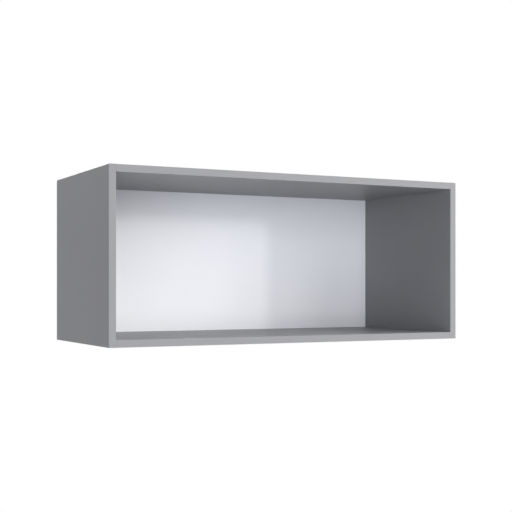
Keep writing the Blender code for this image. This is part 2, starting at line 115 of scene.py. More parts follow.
# Boards: melamine paper on both faces of raw chipboard
LAMINATE = 0.0003
BOARD_GREY = (0.240, 0.242, 0.251)
BOARD_CLOUDS = (0.150, 2.0)
BOARD_SPREAD = 0.012
BOARD_SPECKLES = (0.0008, 2.0, 0.7)
BOARD_TINTS = (0.965, 1.035)
BOARD_ROUGHNESS = (0.39, 0.46)
BOARD_SPECULAR = 0.25
BOARD_PRESS = (0.0028, 1.0)
BOARD_PRESS_RELIEF = 0.000018
BOARD_PORE_RELIEF = 0.000012
PORES = (0.0004, 2.0, 0.6)

# Chipboard: flakes up to where they fade out and dust beyond, both thinner across the board than along
CORE_FADE = (0.0035, 0.0053)
FLAKE_GRAIN = 0.0024
DUST_GRAIN = 0.0008
FINER_ACROSS = 2.2
FINER_ALONG = 0.7
FLAKE_BENDS = (0.006, 2.0)
FLAKE_BEND = 0.004
FLAKE_SEAMS = (0.2, 0.9)
FLAKE_PALE = (0.60, 0.45, 0.29)
FLAKE_MID = (0.44, 0.31, 0.185)
FLAKE_DARK = (0.26, 0.17, 0.095)
MID_FLAKES = (0.05, 0.75)
DARK_FLAKES = (0.80, 0.95)
WOOD_FIBRES = (0.0005, 4.0, 0.6)
DARK_FIBRES = (0.35, 0.75)
DARK_FIBRE_SHARE = 0.45
CHIP_RELIEF = 0.00025
CHIP_ROUGHNESS = 0.92

# Edge band: plastic, whitened a little where its corners are milled round
BAND_GREY = (0.240, 0.242, 0.251)
BAND_MILLED_GREY = (0.272, 0.274, 0.283)
BAND_SPECKLES = (0.0009, 2.0, 0.7)
BAND_SPREAD = 0.030
BAND_ROUGHNESS = (0.27, 0.34)
BAND_SPECULAR = 0.50
BAND_PRESS = (0.0020, 1.0)
BAND_PRESS_RELIEF = 0.000015
BAND_PORE_RELIEF = 0.000010
BAND_RIPPLES = (0.0012, 1.0)
BAND_RIPPLE = 0.000004
BAND_MILLED_RIPPLE = 0.00003
BAND_RADIUS = 0.0007
BAND_ARC_STEPS = 8

# Back panel: hardboard with white lacquer on the face towards the room
LACQUER = 0.00015
BACK_WHITE = (0.850, 0.862, 0.898)
BACK_CLOUDS = (0.090, 2.0)
BACK_SPREAD = 0.006
BACK_ROUGHNESS = (0.59, 0.65)
BACK_SPECULAR = 0.30
ROLLER_MARKS = (0.0016, 2.0)
ROLLER_RELIEF = 0.00002
FIBRE_DARK = (0.190, 0.116, 0.064)
FIBRE_PALE = (0.300, 0.195, 0.115)
FIBRE_CLUMPS = (0.045, 3.0)
FIBRE_THREADS = (0.0011, 5.0, 0.7)
FIBRE_FINER = (0.6, 1.0, 1.5)
FIBRE_THREAD_SHARE = 0.8
FIBRE_SPECK = (0.110, 0.062, 0.032)
FIBRE_SPECKS = (0.0016, 2.0, 0.8)
FIBRE_SPECK_FADE = (0.66, 0.74)
FIBRE_SPECK_SHARE = 0.5
FIBRE_ROUGHNESS = (0.55, 0.75)
FIBRE_RELIEF = 0.00004

# Metals: colour, roughness, the grain of the pits and their depth
ZINC = ((0.50, 0.505, 0.52), 0.44, 0.0003, 0.00002)
STEEL = ((0.60, 0.60, 0.59), 0.30, 0.0006, 0.000006)
METAL_CLOUD_GRAINS = 8
METAL_SPREAD = 0.10
METAL_ROUGHNESS_SHARES = (0.85, 1.2)
PIT_LAYERS = (3.0, 0.6)

# Beech
BEECH_DARK = (0.42, 0.26, 0.145)
BEECH_PALE = (0.64, 0.46, 0.29)
BEECH_GRAIN = (0.0010, 4.0, 0.6)
BEECH_FINER = (1.0, 1.0, 0.12)
BEECH_ROUGHNESS = 0.62
BEECH_RELIEF = 0.00005

# All shapes. An edge is sharp above this angle, and a face is square to an axis if its normal's part
# along it is more than SQUARE. Corners closer than WELD are one. A cutter reaches OVERRUN past a face.
ROUND_SIDES = 96
PIN_SIDES = 48
SMALL_ARC_STEPS = 8
SHARP_ABOVE = math.radians(30)
SQUARE = 0.99999
WELD = 1e-6
OVERRUN = 0.002

# A driver's cross is given by its length, width and depth. Its foot and its rim are shares of these.
CROSS_FOOT_LENGTH = 0.45
CROSS_FOOT_WIDTH = 0.75
CROSS_RIM = 0.1

# A thread is given by the radius of its core, the radius of its crest and its pitch. THREAD_START
# turns its ridge off the core's corners. The ridge is a share of the pitch wide, and its root lies
# inside the core at a share of the core's radius.
THREAD_STEPS = 24
THREAD_START = 0.01
THREAD_RIDGE_SHARE = 0.5
THREAD_ROOT_SHARE = 0.8

# Cam, whose bolt comes in at half the board's thickness. Its mark is an arrow: length, width, depth.
CAM_RIM_CHAMFER = 0.0003
CAM_HEAD_ROOM = 0.0035
CAM_NECK_ROOM = 0.0025
CAM_LIP_AT_MOUTH = 0.0010
CAM_LIP_WHEN_LOCKED = 0.0016
CAM_DRIVE = (0.0072, 0.0017, 0.0026)
CAM_MARK = (0.0016, 0.0020, 0.0003)
CAM_MARK_FROM_RIM = 0.0009

# Cam bolt, from its head in the cam out to its tip in the side board
BOLT_HEAD_RADIUS = 0.0032
BOLT_HEAD_LENGTH = 0.0028
BOLT_HEAD_CHAMFER = 0.0006
BOLT_NECK_RADIUS = 0.0022
BOLT_NECK_LENGTH = 0.0050
BOLT_SHANK_RADIUS = 0.0029
BOLT_COLLAR_LENGTH = 0.0012
BOLT_THREAD_LENGTH = 0.0111
BOLT_TIP = 0.0020
BOLT_DRIVE = (0.0038, 0.0008, 0.0015)
BOLT_THREAD = (0.0019, 0.0026, 0.0018)

# Dowel
DOWEL_CHAMFER = 0.0010
DOWEL_FLUTES = 8
DOWEL_FLUTE_DEPTH = 0.0005
DOWEL_FLUTE_SHARE = 0.35

# Nail, screw and hanger plate, whose holes are wider than the screws by FIT all round
FIT = 0.0003
NAIL_HEAD_THICKNESS = 0.0007
NAIL_RADIUS = 0.0007
NAIL_TIP = 0.0025
NAIL_DOME = 0.00008
NAIL_RIM = 0.00025
SCREW_HEAD_HEIGHT = 0.0016
SCREW_RADIUS = 0.0015
SCREW_NECK_END = 0.0034
SCREW_TIP = 0.003
SCREW_DRIVE = (0.0036, 0.0008, 0.0013)
SCREW_THREAD = (0.0010, 0.0015, 0.0014)
SCREW_RIM = 0.00015
PLATE_RIM = 0.0003
PLATE_ARC_STEPS = 24
KEYHOLE_ENTRY_RADIUS = 0.0045
KEYHOLE_SLOT_RADIUS = 0.0026
KEYHOLE_RISE = 0.012
KEYHOLE_HEIGHT = 0.021

# Where a Mix node keeps its two values and its result, by the kind of value
MIX_SOCKETS = {"FLOAT": (2, 3, 0), "VECTOR": (4, 5, 1), "RGBA": (6, 7, 2)}


class Finish:
    """One material's nodes. Its patterns are sized in metres, in the frame of the piece."""

    def __init__(self, name):
        self.material = bpy.data.materials.new(name)
        self.material.use_nodes = True
        self.nodes = self.material.node_tree.nodes
        self.shader = self.nodes["Principled BSDF"]
        self.place = self.add("TexCoord").outputs["Object"]

    def add(self, kind, **settings):
        """Makes a node of one kind, with these settings."""
        node = self.nodes.new("ShaderNode" + kind)
        for name, value in settings.items():
            setattr(node, name, value)
        return node

    def feed(self, socket, value):
        """Links a socket to another, or sets it to a number, a direction or a colour."""
        if isinstance(value, bpy.types.NodeSocket):
            self.material.node_tree.links.new(value, socket)
        elif socket.type == "RGBA":
            socket.default_value = (*value, 1.0)
        else:
            socket.default_value = value

    def maths(self, operation, first, second=0.0):
        """What an operation makes of two numbers, or of the first alone."""
        node = self.add("Math", operation=operation)
        self.feed(node.inputs[0], first)
        self.feed(node.inputs[1], second)
        return node.outputs[0]

    def vector(self, operation, first, second):
        """What an operation makes of two vectors, or SCALE of a vector and a number."""
        node = self.add("VectorMath", operation=operation)
        self.feed(node.inputs[0], first)
        self.feed(node.inputs["Scale" if operation == "SCALE" else 1], second)
        return node.outputs[0]

    def along(self, axis):
        """The place along one axis, X, Y or Z."""
        node = self.add("SeparateXYZ")
        self.feed(node.inputs[0], self.place)
        return node.outputs[axis]

    def depth(self, axis, middle):
        """The distance from a board's middle plane."""
        return self.maths("ABSOLUTE", self.maths("SUBTRACT", self.along(axis), middle))

    def stretched(self, factors):
        """The place times one factor for each axis, which makes a pattern finer along it."""
        return self.vector("MULTIPLY", self.place, factors)

    def noise(self, grain, detail=3.0, roughness=0.5, place=None):
        """Noise whose blotches are about one grain across."""
        node = self.add("TexNoise")
        self.feed(node.inputs["Vector"], place or self.place)
        self.feed(node.inputs["Scale"], 1 / grain)
        self.feed(node.inputs["Detail"], detail)
        self.feed(node.inputs["Roughness"], roughness)
        return node.outputs["Fac"]

    def cells(self, grain, place=None):
        """Cells about one grain across: a random number for each, and the distance to its middle."""
        node = self.add("TexVoronoi")
        self.feed(node.inputs["Vector"], place or self.place)
        self.feed(node.inputs["Scale"], 1 / grain)
        split = self.add("SeparateColor")
        self.feed(split.inputs[0], node.outputs["Color"])
        return split.outputs[0], node.outputs["Distance"]

    def between(self, factor, low, high, start=0.3, end=0.7):
        """Goes from low to high as the factor goes from start to end, and stays there beyond them."""
        node = self.add("MapRange", clamp=True)
        for socket, value in zip(node.inputs, (factor, start, end, low, high)):
            self.feed(socket, value)
        return node.outputs[0]

    def mix(self, kind, factor, first, second):
        """A value between two others of one kind: FLOAT, VECTOR or RGBA."""
        node = self.add("Mix", data_type=kind)
        low, high, result = MIX_SOCKETS[kind]
        self.feed(node.inputs[0], factor)
        self.feed(node.inputs[low], first)
        self.feed(node.inputs[high], second)
        return node.outputs[result]

    def shaded(self, factor, colour, spread):
        """A colour that wanders by this share to either side of itself."""
        dark = tuple(part * (1 - spread) for part in colour)
        light = tuple(part * (1 + spread) for part in colour)
        return self.mix("RGBA", self.between(factor, 0.0, 1.0), dark, light)

    def relief(self, height, depth, under=None):
        """A relief of this depth, laid over another where one is given."""
        node = self.add("Bump")
        self.feed(node.inputs["Height"], height)
        self.feed(node.inputs["Distance"], depth)
        if under is not None:
            self.feed(node.inputs["Normal"], under)
        return node.outputs["Normal"]

    def done(self, **inputs):
        """Feeds the shader, whose sockets are named with _ for a space, and gives the material."""
        for name, value in inputs.items():
            self.feed(self.shader.inputs[name.replace("_", " ")], value)
        return self.material


def thin_axis(node):
    """The axis that a board's thickness lies along, and its middle there."""
    low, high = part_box(node)
    axis = min(range(3), key=lambda number: high[number] - low[number])
    return "XYZ"[axis], (low[axis] + high[axis]) / 2


def chipboard(finish, axis, depth):
    """Pressed wood flakes that lie flat in the board, with fine dust near its faces: colour and relief."""
    flat = finish.stretched(tuple(FINER_ACROSS if name == axis else FINER_ALONG for name in "XYZ"))
    bend = finish.maths("MULTIPLY", finish.noise(*FLAKE_BENDS), FLAKE_BEND)
    flake, flake_middle = finish.cells(FLAKE_GRAIN, finish.vector("ADD", flat, bend))
    dust, dust_middle = finish.cells(DUST_GRAIN, flat)
    fibres = finish.noise(*WOOD_FIBRES, place=flat)
    core = finish.between(depth, 1.0, 0.0, *CORE_FADE)
    chip = finish.mix("FLOAT", core, dust, flake)
    wood = finish.mix("RGBA", finish.between(chip, 0.0, 1.0, *MID_FLAKES), FLAKE_PALE, FLAKE_MID)
    wood = finish.mix("RGBA", finish.between(chip, 0.0, 1.0, *DARK_FLAKES), wood, FLAKE_DARK)
    dark = finish.between(fibres, 0.0, DARK_FIBRE_SHARE, *DARK_FIBRES)
    wood = finish.mix("RGBA", dark, wood, FLAKE_DARK)
    middle = finish.mix("FLOAT", core, dust_middle, flake_middle)
    seams = finish.between(middle, 0.0, 1.0, *FLAKE_SEAMS)
    return wood, finish.relief(finish.maths("ADD", seams, fibres), CHIP_RELIEF)


def board_finish(node):
    """Grey melamine on both broad faces of a board, and raw chipboard wherever the board is cut."""
    finish = Finish(f"{node}_finish")
    axis, middle = thin_axis(node)
    depth = finish.depth(axis, middle)
    skin = finish.maths("GREATER_THAN", depth, BOARD / 2 - LAMINATE)
    wood, wood_relief = chipboard(finish, axis, depth)
    grey = finish.shaded(finish.noise(*BOARD_CLOUDS), BOARD_GREY, BOARD_SPREAD)
    tint = finish.between(finish.noise(*BOARD_SPECKLES), *BOARD_TINTS)
    pores = finish.noise(*PORES)
    press = finish.relief(finish.noise(*BOARD_PRESS), BOARD_PRESS_RELIEF)
    paper_relief = finish.relief(pores, BOARD_PORE_RELIEF, press)
    paper_roughness = finish.between(pores, *BOARD_ROUGHNESS)
    return finish.done(
        Base_Color=finish.mix("RGBA", skin, wood, finish.vector("SCALE", grey, tint)),
        Roughness=finish.mix("FLOAT", skin, CHIP_ROUGHNESS, paper_roughness),
        Normal=finish.mix("VECTOR", skin, wood_relief, paper_relief),
        Specular_IOR_Level=BOARD_SPECULAR,
    )


def back_finish():
    """White lacquer towards the room, and brown pressed fibre on the rim and towards the wall."""
    finish = Finish("back_panel_finish")
    lacquered = finish.maths("LESS_THAN", finish.along("Y"), BACK_PANEL[0].y + LACQUER)
    white = finish.shaded(finish.noise(*BACK_CLOUDS), BACK_WHITE, BACK_SPREAD)
    roller = finish.noise(*ROLLER_MARKS)
    white_roughness = finish.between(roller, *BACK_ROUGHNESS)
    white_relief = finish.relief(roller, ROLLER_RELIEF)
    threads = finish.noise(*FIBRE_THREADS, place=finish.stretched(FIBRE_FINER))
    fibre = finish.mix("FLOAT", FIBRE_THREAD_SHARE, finish.noise(*FIBRE_CLUMPS), threads)
    brown = finish.mix("RGBA", finish.between(fibre, 0.0, 1.0), FIBRE_DARK, FIBRE_PALE)
    specks = finish.between(finish.noise(*FIBRE_SPECKS), 0.0, FIBRE_SPECK_SHARE, *FIBRE_SPECK_FADE)
    brown = finish.mix("RGBA", specks, brown, FIBRE_SPECK)
    brown_roughness = finish.between(threads, *FIBRE_ROUGHNESS)
    brown_relief = finish.relief(threads, FIBRE_RELIEF)
    return finish.done(
        Base_Color=finish.mix("RGBA", lacquered, brown, white),
        Roughness=finish.mix("FLOAT", lacquered, brown_roughness, white_roughness),
        Normal=finish.mix("VECTOR", lacquered, brown_relief, white_relief),
        Specular_IOR_Level=BACK_SPECULAR,
    )


def band_finish(name, colour, ripple):
    """Fine-grained plastic with a ripple, which is stronger where it was milled."""
    finish = Finish(name)
    pores = finish.noise(*PORES)
    press = finish.relief(finish.noise(*BAND_PRESS), BAND_PRESS_RELIEF)
    grain = finish.relief(pores, BAND_PORE_RELIEF, press)
    return finish.done(
        Base_Color=finish.shaded(finish.noise(*BAND_SPECKLES), colour, BAND_SPREAD),
        Roughness=finish.between(pores, *BAND_ROUGHNESS),
        Normal=finish.relief(finish.noise(*BAND_RIPPLES), ripple, grain),
        Specular_IOR_Level=BAND_SPECULAR,
    )


def metal_finish(name, colour, roughness, grain, depth):
    """Bare or plated metal, clouded and a little pitted."""
    finish = Finish(name)
    cloud = finish.noise(grain * METAL_CLOUD_GRAINS)
    smoothest, roughest = (roughness * share for share in METAL_ROUGHNESS_SHARES)
    return finish.done(
        Base_Color=finish.shaded(cloud, colour, METAL_SPREAD),
        Metallic=1.0,
        Roughness=finish.between(cloud, smoothest, roughest),
        Normal=finish.relief(finish.noise(grain, *PIT_LAYERS), depth),
    )


def beech_finish():
    """Beech, whose grain runs along the dowel."""
    finish = Finish("dowel_beech_finish")
    grain = finish.noise(*BEECH_GRAIN, place=finish.stretched(BEECH_FINER))
    wood = finish.mix("RGBA", finish.between(grain, 0.0, 1.0), BEECH_DARK, BEECH_PALE)
    relief = finish.relief(grain, BEECH_RELIEF)
    return finish.done(Base_Color=wood, Roughness=BEECH_ROUGHNESS, Normal=relief)


def shade(mesh):
    """Faces square to an axis stay flat, all others are smooth, and corners stay sharp."""
    mesh.set_sharp_from_angle(angle=SHARP_ABOVE)
    smooth = [max(abs(part) for part in face.normal) < SQUARE for face in mesh.polygons]
    mesh.polygons.foreach_set("use_smooth", smooth)
    return mesh


def mesh_from(bm, name):
    """Turns a body's faces outwards and gives it as a shaded mesh."""
    bmesh.ops.recalc_face_normals(bm, faces=bm.faces)
    mesh = bpy.data.meshes.new(name)
    bm.to_mesh(mesh)
    bm.free()
    return shade(mesh)


def skinned(name, rings):
    """A closed body through rings of points, with equally many points in each."""
    bm = bmesh.new()
    loops = [[bm.verts.new(point) for point in ring] for ring in rings]
    for lower, upper in zip(loops, loops[1:]):
        for corner in range(len(lower)):
            following = (corner + 1) % len(lower)
            bm.faces.new((lower[corner], lower[following], upper[following], upper[corner]))
    bm.faces.new(loops[0])
    bm.faces.new(loops[-1])
    return mesh_from(bm, name)


def lofted(name, sections):
    """A closed body through outlines in XY: (height, points), with equally many points in each."""
    return skinned(name, [[(x, y, height) for x, y in outline] for height, outline in sections])


def turned(name, profile, sides=ROUND_SIDES):
    """A body turned about Z. The profile is (radius, height) points, and both its ends lie on Z."""
    bm = bmesh.new()
    points = [bm.verts.new((radius, 0, height)) for radius, height in profile]
    edges = [bm.edges.new(pair) for pair in zip(points, points[1:])]
    about_z = {"cent": (0, 0, 0), "axis": (0, 0, 1), "angle": FULL_TURN}
    bmesh.ops.spin(bm, geom=points + edges, steps=sides, use_merge=True, **about_z)
    bmesh.ops.remove_doubles(bm, verts=bm.verts, dist=WELD)
    return mesh_from(bm, name)


def carved(name, body, cutters):
    """The body less its cutters."""
    return combined(name, "DIFFERENCE", body, cutters)


def combined(name, operation, body, tools):
    """The body and its tools, each a mesh or a mesh with the matrix that places it, made into one."""
    whole = bpy.data.objects.new(name, body)
    helpers = [whole]
    for tool in tools:
        mesh, place = tool if isinstance(tool, tuple) else (tool, Matrix.Identity(4))
        helper = bpy.data.objects.new(mesh.name, mesh)
        helper.matrix_world = place
        helpers.append(helper)
        step = whole.modifiers.new(mesh.name, "BOOLEAN")
        step.operation = operation
        step.solver = "EXACT"
        step.object = helper
    for helper in helpers:
        bpy.context.scene.collection.objects.link(helper)
    bpy.context.view_layer.update()
    mesh = bpy.data.meshes.new_from_object(whole.evaluated_get(bpy.context.evaluated_depsgraph_get()))
    for helper in helpers:
        bpy.data.objects.remove(helper)
    bm = bmesh.new()
    bm.from_mesh(mesh)
    bpy.data.meshes.remove(mesh)
    bmesh.ops.remove_doubles(bm, verts=bm.verts, dist=WELD)
    bmesh.ops.dissolve_degenerate(bm, edges=bm.edges, dist=WELD)
    bmesh.ops.delete(bm, geom=[edge for edge in bm.edges if edge.is_wire], context="EDGES")
    return mesh_from(bm, name)


def arc(centre, radius, start, end, steps):
    """Points of an arc from start to end, both included."""
    angles = [start + (end - start) * step / steps for step in range(steps + 1)]
    return [(centre[0] + radius * math.cos(a), centre[1] + radius * math.sin(a)) for a in angles]


def put(node, mesh, place, body, finishes):
    """A finer piece that stands for a CAD node and rides on its body."""
    piece = bpy.data.objects.new(f"{node}_fine", mesh.copy())
    bpy.context.scene.collection.objects.link(piece)
    piece.matrix_world = place
    piece.data.materials.clear()
    for finish in finishes:
        piece.data.materials.append(finish)
    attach(piece, body)
    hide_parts(node)
    return piece


def cross_outline(length, width):
    """A cross whose arms have round ends."""
    reach = (length - width) / 2
    arm = arc((reach, 0), width / 2, -QUARTER_TURN, QUARTER_TURN, SMALL_ARC_STEPS)
    arm.append((width / 2, width / 2))
    turns = [Matrix.Rotation(quarter * QUARTER_TURN, 2) for quarter in range(4)]
    return [tuple(turn @ Vector(point)) for turn in turns for point in arm]


def cross_recess(name, sizes, face):
    """A tapered cross for the screwdriver, a little wider at its rim."""
    length, width, depth = sizes
    rim = width * CROSS_RIM
    return lofted(name, [
        (face - depth, cross_outline(length * CROSS_FOOT_LENGTH, width * CROSS_FOOT_WIDTH)),
        (face - rim, cross_outline(length, width)),
        (face, cross_outline(length + 2 * rim, width + 2 * rim)),
        (face + OVERRUN, cross_outline(length + 2 * rim, width + 2 * rim)),
    ])


def cam_pocket_outline(radius):
    """The bolt head's pocket: its lip thickens from the mouth, at -X, round by -Y to +X."""
    steps = ROUND_SIDES // 2
    at_mouth = radius - CAM_LIP_AT_MOUTH
    locked = radius - CAM_LIP_WHEN_LOCKED
    start = HALF_TURN - math.asin(CAM_HEAD_ROOM / at_mouth)
    outline = arc((0, 0), at_mouth, start, HALF_TURN, SMALL_ARC_STEPS)
    for step in range(1, steps):
        reach = at_mouth + (locked - at_mouth) * step / steps
        angle = HALF_TURN * (1 + step / steps)
        outline.append((reach * math.cos(angle), reach * math.sin(angle)))
    return outline + arc((0, 0), locked, 0, math.asin(CAM_HEAD_ROOM / locked), SMALL_ARC_STEPS)


def cam_mesh(radius, face, foot):
    """A locked cam about Z, with the bolt coming in along +X at height 0 and its drive face up."""
    drum = turned("cam_drum", [
        (0, foot),
        (radius - CAM_RIM_CHAMFER, foot),
        (radius, foot + CAM_RIM_CHAMFER),
        (radius, face - CAM_RIM_CHAMFER),
        (radius - CAM_RIM_CHAMFER, face),
        (0, face),
    ])
    outside = radius + OVERRUN
    slot = [(outside, CAM_NECK_ROOM), (-outside, CAM_NECK_ROOM)]
    slot += arc((0, 0), outside, HALF_TURN, FULL_TURN, ROUND_SIDES // 2)
    pocket = cam_pocket_outline(radius)
    mouth = turned("cam_mouth", [(0, 0), (CAM_HEAD_ROOM, 0), (CAM_HEAD_ROOM, outside), (0, outside)])
    length, width, depth = CAM_MARK
    tip = radius - CAM_MARK_FROM_RIM
    arrow = [(tip, 0), (tip - length, width / 2), (tip - length, -width / 2)]
    return carved("cam", drum, [
        lofted("cam_pocket", [(-CAM_HEAD_ROOM, pocket), (CAM_HEAD_ROOM, pocket)]),
        lofted("cam_slot", [(-CAM_NECK_ROOM, slot), (CAM_NECK_ROOM, slot)]),
        (mouth, Matrix.Rotation(-QUARTER_TURN, 4, "Y")),
        cross_recess("cam_drive", CAM_DRIVE, face),
        lofted("cam_mark", [(face - depth, arrow), (face + OVERRUN, arrow)]),
    ])


def corners():
    """The carcass's corners: the level, the side's direction, and how the names of their pieces end."""
    for level_name in LEVELS:
        for side_name, side in SIDE_NAMES.items():
            for corner_name in CORNER_NAMES:
                yield level_name, side, f"{level_name}_{side_name}_{corner_name}"


def make_cams(finish):
    """One finer cam for each, all locked, with the drive face out of the board."""
    low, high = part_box("cam_top_right_front")
    radius = (high.y - low.y) / 2
    mesh = cam_mesh(radius, high.z - LEVELS["top"], low.z - LEVELS["top"])
    for level_name, side, corner in corners():
        node = f"cam_{corner}"
        low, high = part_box(node)
        centre = ((low.x + high.x) / 2, (low.y + high.y) / 2, LEVELS[level_name])
        place = Matrix.Translation(centre) @ cam_turn(level_name, side)
        put(node, mesh, place, node, [finish])


def cam_turn(level_name, side):
    """Turns a cam's drive face out of its board and its +X towards the side board."""
    if level_name == "top":
        return Matrix.Rotation(0 if side > 0 else HALF_TURN, 4, "Z")
    return Matrix.Rotation(HALF_TURN, 4, "X" if side > 0 else "Y")


def thread_ridge(start, end, thread):
    """A ridge that winds round Z from start to end and sinks into its core in the last half turns."""
    core, crest, pitch = thread
    root = core * THREAD_ROOT_SHARE
    foot = (core + root) / 2
    half = pitch * THREAD_RIDGE_SHARE / 2
    steps = int((end - start - 2 * half) / pitch * THREAD_STEPS)
    rings = []
    for step in range(steps + 1):
        angle = FULL_TURN * (step / THREAD_STEPS + THREAD_START)
        height = start + half + pitch * step / THREAD_STEPS
        run_out = min(1, 2 * step / THREAD_STEPS, 2 * (steps - step) / THREAD_STEPS)
        ridge = foot + (crest - foot) * run_out
        section = [(root, height - half), (ridge, height), (root, height + half)]
        rings.append([(reach * math.cos(angle), reach * math.sin(angle), up) for reach, up in section])
    return skinned("thread_ridge", rings)


def bolt_mesh(collar_radius, length):
    """A cam bolt along Z from its head: neck, shank, collar, and the thread that bites in the side."""
    shoulder = BOLT_HEAD_LENGTH
    shank = shoulder + BOLT_NECK_LENGTH
    collar_face = length - BOLT_THREAD_LENGTH
    core = BOLT_THREAD[0]
    blank = turned("cam_bolt_blank", [
        (0, 0),
        (BOLT_HEAD_RADIUS - BOLT_HEAD_CHAMFER, 0),
        (BOLT_HEAD_RADIUS, BOLT_HEAD_CHAMFER),
        (BOLT_HEAD_RADIUS, shoulder),
        (BOLT_NECK_RADIUS, shoulder),
        (BOLT_NECK_RADIUS, shank),
        (BOLT_SHANK_RADIUS, shank),
        (BOLT_SHANK_RADIUS, collar_face - BOLT_COLLAR_LENGTH),
        (collar_radius, collar_face - BOLT_COLLAR_LENGTH),
        (collar_radius, collar_face),
        (core, collar_face),
        (core, length - BOLT_TIP),
        (0, length),
    ], PIN_SIDES)
    ridge = thread_ridge(collar_face, length - BOLT_TIP, BOLT_THREAD)
    threaded = combined("cam_bolt_threaded", "UNION", blank, [ridge])
    drive = cross_recess("cam_bolt_drive", BOLT_DRIVE, 0)
    return carved("cam_bolt", threaded, [(drive, Matrix.Rotation(HALF_TURN, 4, "X"))])


def dowel_mesh(radius, length):
    """A dowel along Z with chamfered ends and rounded glue flutes."""
    def outline(reach, flute_depth):
        """The rim of a section, with flutes of this depth."""
        points = []
        for corner in range(ROUND_SIDES):
            turn = corner / ROUND_SIDES
            from_flute = abs(turn * DOWEL_FLUTES % 1 - 0.5) / DOWEL_FLUTE_SHARE
            hollow = flute_depth * math.sqrt(max(0, 1 - from_flute**2))
            angle = FULL_TURN * turn
            points.append(((reach - hollow) * math.cos(angle), (reach - hollow) * math.sin(angle)))
        return points

    end = outline(radius - DOWEL_CHAMFER, 0)
    fluted = outline(radius, DOWEL_FLUTE_DEPTH)
    return lofted("dowel", [
        (0, end), (DOWEL_CHAMFER, fluted), (length - DOWEL_CHAMFER, fluted), (length, end)
    ])


def make_bolts_and_dowels(steel, beech):
    """The pieces inside the corners, each from its inner end out towards the side board."""
    low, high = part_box("cam_bolt_top_right_front")
    bolt = bolt_mesh((high.y - low.y) / 2, high.x - low.x)
    low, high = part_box("dowel_top_right_front")
    dowel = dowel_mesh((high.y - low.y) / 2, high.x - low.x)
    for _, side, corner in corners():
        put_outwards(f"cam_bolt_{corner}", side, bolt, steel)
        put_outwards(f"dowel_{corner}", side, dowel, beech)


def put_outwards(node, side, mesh, finish):
    """Puts a piece that is made along +Z from the node's inner end out towards its side board."""
    low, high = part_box(node)
    inner_end = (low.x if side > 0 else high.x, (low.y + high.y) / 2, (low.z + high.z) / 2)
    place = Matrix.Translation(inner_end) @ Matrix.Rotation(side * QUARTER_TURN, 4, "Y")
    put(node, mesh, place, "carcass", [finish])


def make_nails(finish):
    """Nails with a slightly domed head."""
    nodes = [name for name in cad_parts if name.startswith("back_nail")]
    low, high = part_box(nodes[0])
    head = (high.x - low.x) / 2
    length = high.y - low.y
    mesh = turned("nail", [
        (0, 0),
        (head / 2, -NAIL_DOME / 4),
        (head - NAIL_RIM, -NAIL_DOME),
        (head, -NAIL_DOME - NAIL_RIM),
        (head, -NAIL_HEAD_THICKNESS),
        (NAIL_RADIUS, -NAIL_HEAD_THICKNESS),
        (NAIL_RADIUS, NAIL_TIP - length),
        (0, -length),
    ], PIN_SIDES)
    for node in nodes:
        put_from_behind(node, mesh, finish)


def put_from_behind(node, mesh, finish):
    """Puts a nail or screw, whose head is up at height 0, with its head at the rear of its node."""
    low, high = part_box(node)
    head = ((low.x + high.x) / 2, high.y, (low.z + high.z) / 2)
    place = Matrix.Translation(head) @ Matrix.Rotation(-QUARTER_TURN, 4, "X")
    put(node, mesh, place, "carcass", [finish])


def make_hanger_screws(finish):
    """Countersunk screws with a cross recess and a thread."""
    low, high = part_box("hanger_screw_left_lower")
    head = (high.x - low.x) / 2
    length = high.y - low.y
    core = SCREW_THREAD[0]
    blank = turned("hanger_screw_blank", [
        (0, 0),
        (head - SCREW_RIM, 0),
        (head, -SCREW_RIM),
        (SCREW_RADIUS, -SCREW_HEAD_HEIGHT),
        (SCREW_RADIUS, -SCREW_NECK_END),
        (core, -SCREW_NECK_END),
        (core, SCREW_TIP - length),
        (0, -length),
    ])
    ridge = thread_ridge(SCREW_TIP - length, -SCREW_NECK_END, SCREW_THREAD)
    threaded = combined("hanger_screw_threaded", "UNION", blank, [ridge])
    mesh = carved("hanger_screw", threaded, [cross_recess("screw_drive", SCREW_DRIVE, 0)])
    for side_name in SIDE_NAMES:
        for screw_name in PLATE_SCREW_NAMES:
            put_from_behind(f"hanger_screw_{side_name}_{screw_name}", mesh, finish)


def stadium(radius, low, high):
    """A slot with round ends, whose end centres are at y = low and y = high."""
    upper = arc((0, high), radius, 0, HALF_TURN, PLATE_ARC_STEPS)
    return upper + arc((0, low), radius, HALF_TURN, FULL_TURN, PLATE_ARC_STEPS)


def keyhole_outline(grow):
    """A round entry at y = 0 for the wall screw's head, with a narrower slot rising from it."""
    entry = KEYHOLE_ENTRY_RADIUS + grow
    slot = KEYHOLE_SLOT_RADIUS + grow
    foot = math.asin(slot / entry)
    start = QUARTER_TURN + foot
    end = QUARTER_TURN - foot + FULL_TURN
    outline = arc((0, 0), entry, start, end, 2 * PLATE_ARC_STEPS)
    return outline + arc((0, KEYHOLE_RISE), slot, 0, HALF_TURN, PLATE_ARC_STEPS)


def countersink(head, thick):
    """The hole for a screw with a head of this radius, down from a plate's face at height 0."""
    rim = head + FIT
    shank = SCREW_RADIUS + FIT
    return turned("countersink", [
        (0, -OVERRUN),
        (rim + OVERRUN, -OVERRUN),
        (rim, 0),
        (shank, SCREW_HEAD_HEIGHT),
        (shank, thick + OVERRUN),
        (0, thick + OVERRUN),
    ])


